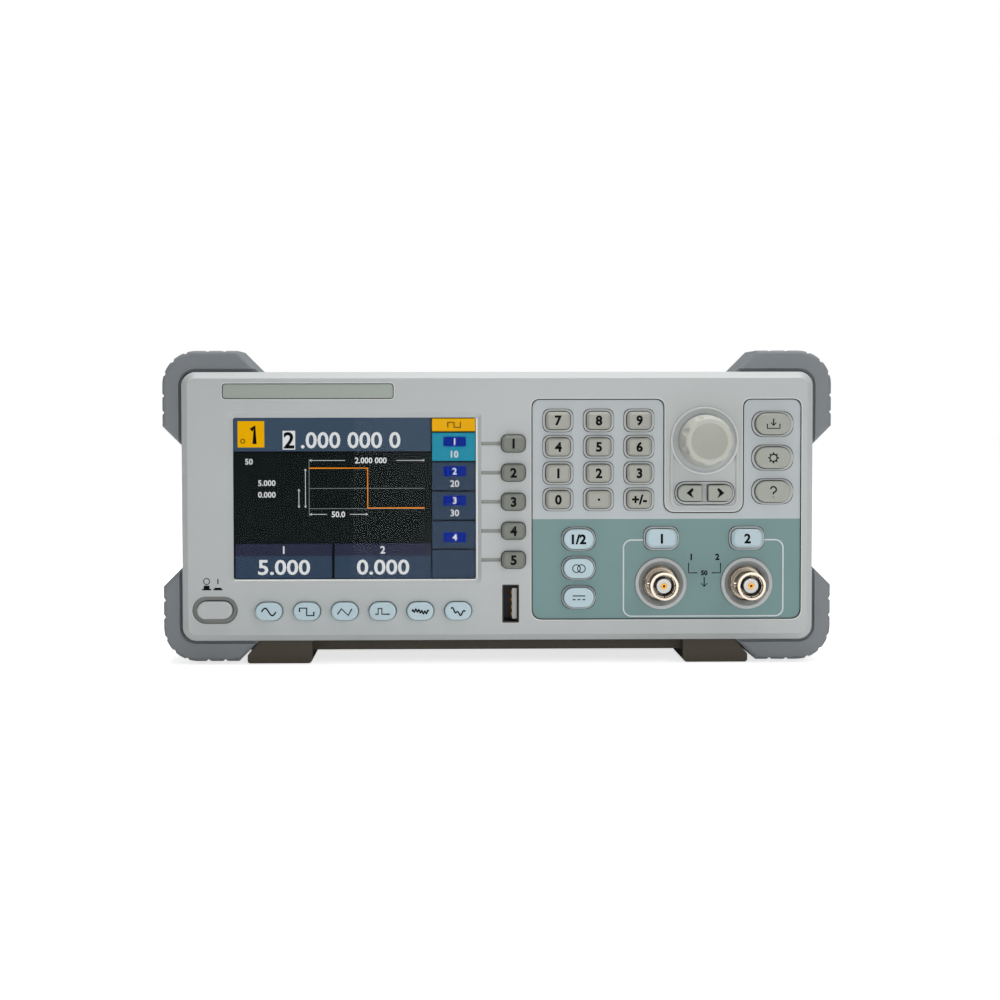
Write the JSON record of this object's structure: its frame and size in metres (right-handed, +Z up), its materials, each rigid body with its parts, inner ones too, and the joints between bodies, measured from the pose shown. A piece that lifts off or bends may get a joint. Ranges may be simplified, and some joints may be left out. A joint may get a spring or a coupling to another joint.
{
  "type": "function generator",
  "caption": "Bench function generator with a colour display, keypad, tuning knob, front BNC outputs, rubber corners and fold-out tilt legs.",
  "frame": {"origin": "on the ground, at the middle of the outer box", "axes": "+Z up; X to the right as seen from the front; the front panel faces -Y and the rear panel +Y"},
  "size_m": [0.235, 0.295, 0.11],
  "materials": {
    "bezel": "light grey moulded plastic, fine grain",
    "overlay": "printed overlay, satin",
    "window": "clear display window",
    "screen": "display panel",
    "name_strip": "satin inset plate",
    "silicone": "translucent silicone",
    "circuit_board": "green glass-fibre board with components",
    "encoder_metal": "pressed metal can",
    "connector_black": "black moulded connector",
    "switch_black": "black moulded switch",
    "nickel": "bright nickel plate",
    "cover_light": "light grey cover, fine texture",
    "cover_dark": "dark warm grey cover, fine texture",
    "rear_metal": "painted steel sheet",
    "bumper": "grey rubber corners, matt",
    "foot_rubber": "black rubber pads",
    "screw_steel": "zinc-plated steel",
    "grey_keys": "warm grey silicone key caps",
    "blue_keys": "pale blue translucent silicone key caps",
    "power_cap": "light grey button",
    "knob": "light grey knob, fine texture",
    "shaft": "turned steel shaft",
    "leg": "dark warm grey leg"
  },
  "bodies": {
    "case": {"front_bezel": "bezel", "control_overlay": "overlay", "display_window": "window", "lcd_module": "screen", "name_strip": "name_strip", "keypad_mat": "silicone", "key_board": "circuit_board", "encoder_body": "encoder_metal", "usb_host_socket": "connector_black", "power_switch": "switch_black", "output_sockets": "nickel", "top_cover": "cover_light", "bottom_cover": "cover_dark", "rear_panel": "rear_metal", "front_bumpers": "bumper", "rear_bumpers": "bumper", "main_board": "circuit_board", "power_supply": "circuit_board", "mains_inlet": "connector_black", "rear_sockets": "nickel", "rear_feet": "foot_rubber", "screws": "screw_steel"},
    "tuning_knob": {"tuning_knob": "knob", "encoder_shaft": "shaft"},
    "tilt_leg_left": {"tilt_leg_left": "leg"},
    "tilt_leg_right": {"tilt_leg_right": "leg"},
    "power_button": {"power_button": "power_cap"},
    "wave_key_sine": {"wave_key_sine": "blue_keys"},
    "wave_key_square": {"wave_key_square": "blue_keys"},
    "wave_key_ramp": {"wave_key_ramp": "blue_keys"},
    "wave_key_pulse": {"wave_key_pulse": "blue_keys"},
    "wave_key_noise": {"wave_key_noise": "blue_keys"},
    "wave_key_arbitrary": {"wave_key_arbitrary": "blue_keys"},
    "soft_key_1": {"soft_key_1": "grey_keys"},
    "soft_key_2": {"soft_key_2": "grey_keys"},
    "soft_key_3": {"soft_key_3": "grey_keys"},
    "soft_key_4": {"soft_key_4": "grey_keys"},
    "soft_key_5": {"soft_key_5": "grey_keys"},
    "digit_key_7": {"digit_key_7": "grey_keys"},
    "digit_key_8": {"digit_key_8": "grey_keys"},
    "digit_key_9": {"digit_key_9": "grey_keys"},
    "digit_key_4": {"digit_key_4": "grey_keys"},
    "digit_key_5": {"digit_key_5": "grey_keys"},
    "digit_key_6": {"digit_key_6": "grey_keys"},
    "digit_key_1": {"digit_key_1": "grey_keys"},
    "digit_key_2": {"digit_key_2": "grey_keys"},
    "digit_key_3": {"digit_key_3": "grey_keys"},
    "digit_key_0": {"digit_key_0": "grey_keys"},
    "digit_key_point": {"digit_key_point": "grey_keys"},
    "digit_key_sign": {"digit_key_sign": "grey_keys"},
    "arrow_key_left": {"arrow_key_left": "grey_keys"},
    "arrow_key_right": {"arrow_key_right": "grey_keys"},
    "save_key": {"save_key": "grey_keys"},
    "utility_key": {"utility_key": "grey_keys"},
    "help_key": {"help_key": "grey_keys"},
    "channel_select_key": {"channel_select_key": "blue_keys"},
    "both_channels_key": {"both_channels_key": "blue_keys"},
    "dc_key": {"dc_key": "blue_keys"},
    "output_key_1": {"output_key_1": "blue_keys"},
    "output_key_2": {"output_key_2": "blue_keys"}
  },
  "joints": [
    {"name": "knob_turn", "type": "hinge", "parent": "case", "child": "tuning_knob", "pos_m": [0.0723, -0.1425, 0.0784], "axis": [0, -1, 0], "continuous": true},
    {"name": "leg_fold_left", "type": "hinge", "parent": "case", "child": "tilt_leg_left", "pos_m": [-0.0769, -0.1216, 0.0027], "axis": [-1, 0, 0], "range_deg": [0, 98]},
    {"name": "leg_fold_right", "type": "hinge", "parent": "case", "child": "tilt_leg_right", "pos_m": [0.0769, -0.1216, 0.0027], "axis": [-1, 0, 0], "range_deg": [0, 98]},
    {"name": "power_push", "type": "slide", "parent": "case", "child": "power_button", "axis": [0, -1, 0], "range_m": [0, 0.0025]},
    {"name": "wave_key_sine_press", "type": "slide", "parent": "case", "child": "wave_key_sine", "axis": [0, 1, 0], "range_m": [0, 0.001], "stiffness_N_per_m": 400},
    {"name": "wave_key_square_press", "type": "slide", "parent": "case", "child": "wave_key_square", "axis": [0, 1, 0], "range_m": [0, 0.001], "stiffness_N_per_m": 400},
    {"name": "wave_key_ramp_press", "type": "slide", "parent": "case", "child": "wave_key_ramp", "axis": [0, 1, 0], "range_m": [0, 0.001], "stiffness_N_per_m": 400},
    {"name": "wave_key_pulse_press", "type": "slide", "parent": "case", "child": "wave_key_pulse", "axis": [0, 1, 0], "range_m": [0, 0.001], "stiffness_N_per_m": 400},
    {"name": "wave_key_noise_press", "type": "slide", "parent": "case", "child": "wave_key_noise", "axis": [0, 1, 0], "range_m": [0, 0.001], "stiffness_N_per_m": 400},
    {"name": "wave_key_arbitrary_press", "type": "slide", "parent": "case", "child": "wave_key_arbitrary", "axis": [0, 1, 0], "range_m": [0, 0.001], "stiffness_N_per_m": 400},
    {"name": "soft_key_1_press", "type": "slide", "parent": "case", "child": "soft_key_1", "axis": [0, 1, 0], "range_m": [0, 0.001], "stiffness_N_per_m": 400},
    {"name": "soft_key_2_press", "type": "slide", "parent": "case", "child": "soft_key_2", "axis": [0, 1, 0], "range_m": [0, 0.001], "stiffness_N_per_m": 400},
    {"name": "soft_key_3_press", "type": "slide", "parent": "case", "child": "soft_key_3", "axis": [0, 1, 0], "range_m": [0, 0.001], "stiffness_N_per_m": 400},
    {"name": "soft_key_4_press", "type": "slide", "parent": "case", "child": "soft_key_4", "axis": [0, 1, 0], "range_m": [0, 0.001], "stiffness_N_per_m": 400},
    {"name": "soft_key_5_press", "type": "slide", "parent": "case", "child": "soft_key_5", "axis": [0, 1, 0], "range_m": [0, 0.001], "stiffness_N_per_m": 400},
    {"name": "digit_key_7_press", "type": "slide", "parent": "case", "child": "digit_key_7", "axis": [0, 1, 0], "range_m": [0, 0.001], "stiffness_N_per_m": 400},
    {"name": "digit_key_8_press", "type": "slide", "parent": "case", "child": "digit_key_8", "axis": [0, 1, 0], "range_m": [0, 0.001], "stiffness_N_per_m": 400},
    {"name": "digit_key_9_press", "type": "slide", "parent": "case", "child": "digit_key_9", "axis": [0, 1, 0], "range_m": [0, 0.001], "stiffness_N_per_m": 400},
    {"name": "digit_key_4_press", "type": "slide", "parent": "case", "child": "digit_key_4", "axis": [0, 1, 0], "range_m": [0, 0.001], "stiffness_N_per_m": 400},
    {"name": "digit_key_5_press", "type": "slide", "parent": "case", "child": "digit_key_5", "axis": [0, 1, 0], "range_m": [0, 0.001], "stiffness_N_per_m": 400},
    {"name": "digit_key_6_press", "type": "slide", "parent": "case", "child": "digit_key_6", "axis": [0, 1, 0], "range_m": [0, 0.001], "stiffness_N_per_m": 400},
    {"name": "digit_key_1_press", "type": "slide", "parent": "case", "child": "digit_key_1", "axis": [0, 1, 0], "range_m": [0, 0.001], "stiffness_N_per_m": 400},
    {"name": "digit_key_2_press", "type": "slide", "parent": "case", "child": "digit_key_2", "axis": [0, 1, 0], "range_m": [0, 0.001], "stiffness_N_per_m": 400},
    {"name": "digit_key_3_press", "type": "slide", "parent": "case", "child": "digit_key_3", "axis": [0, 1, 0], "range_m": [0, 0.001], "stiffness_N_per_m": 400},
    {"name": "digit_key_0_press", "type": "slide", "parent": "case", "child": "digit_key_0", "axis": [0, 1, 0], "range_m": [0, 0.001], "stiffness_N_per_m": 400},
    {"name": "digit_key_point_press", "type": "slide", "parent": "case", "child": "digit_key_point", "axis": [0, 1, 0], "range_m": [0, 0.001], "stiffness_N_per_m": 400},
    {"name": "digit_key_sign_press", "type": "slide", "parent": "case", "child": "digit_key_sign", "axis": [0, 1, 0], "range_m": [0, 0.001], "stiffness_N_per_m": 400},
    {"name": "arrow_key_left_press", "type": "slide", "parent": "case", "child": "arrow_key_left", "axis": [0, 1, 0], "range_m": [0, 0.001], "stiffness_N_per_m": 400},
    {"name": "arrow_key_right_press", "type": "slide", "parent": "case", "child": "arrow_key_right", "axis": [0, 1, 0], "range_m": [0, 0.001], "stiffness_N_per_m": 400},
    {"name": "save_key_press", "type": "slide", "parent": "case", "child": "save_key", "axis": [0, 1, 0], "range_m": [0, 0.001], "stiffness_N_per_m": 400},
    {"name": "utility_key_press", "type": "slide", "parent": "case", "child": "utility_key", "axis": [0, 1, 0], "range_m": [0, 0.001], "stiffness_N_per_m": 400},
    {"name": "help_key_press", "type": "slide", "parent": "case", "child": "help_key", "axis": [0, 1, 0], "range_m": [0, 0.001], "stiffness_N_per_m": 400},
    {"name": "channel_select_key_press", "type": "slide", "parent": "case", "child": "channel_select_key", "axis": [0, 1, 0], "range_m": [0, 0.001], "stiffness_N_per_m": 400},
    {"name": "both_channels_key_press", "type": "slide", "parent": "case", "child": "both_channels_key", "axis": [0, 1, 0], "range_m": [0, 0.001], "stiffness_N_per_m": 400},
    {"name": "dc_key_press", "type": "slide", "parent": "case", "child": "dc_key", "axis": [0, 1, 0], "range_m": [0, 0.001], "stiffness_N_per_m": 400},
    {"name": "output_key_1_press", "type": "slide", "parent": "case", "child": "output_key_1", "axis": [0, 1, 0], "range_m": [0, 0.001], "stiffness_N_per_m": 400},
    {"name": "output_key_2_press", "type": "slide", "parent": "case", "child": "output_key_2", "axis": [0, 1, 0], "range_m": [0, 0.001], "stiffness_N_per_m": 400}
  ]
}
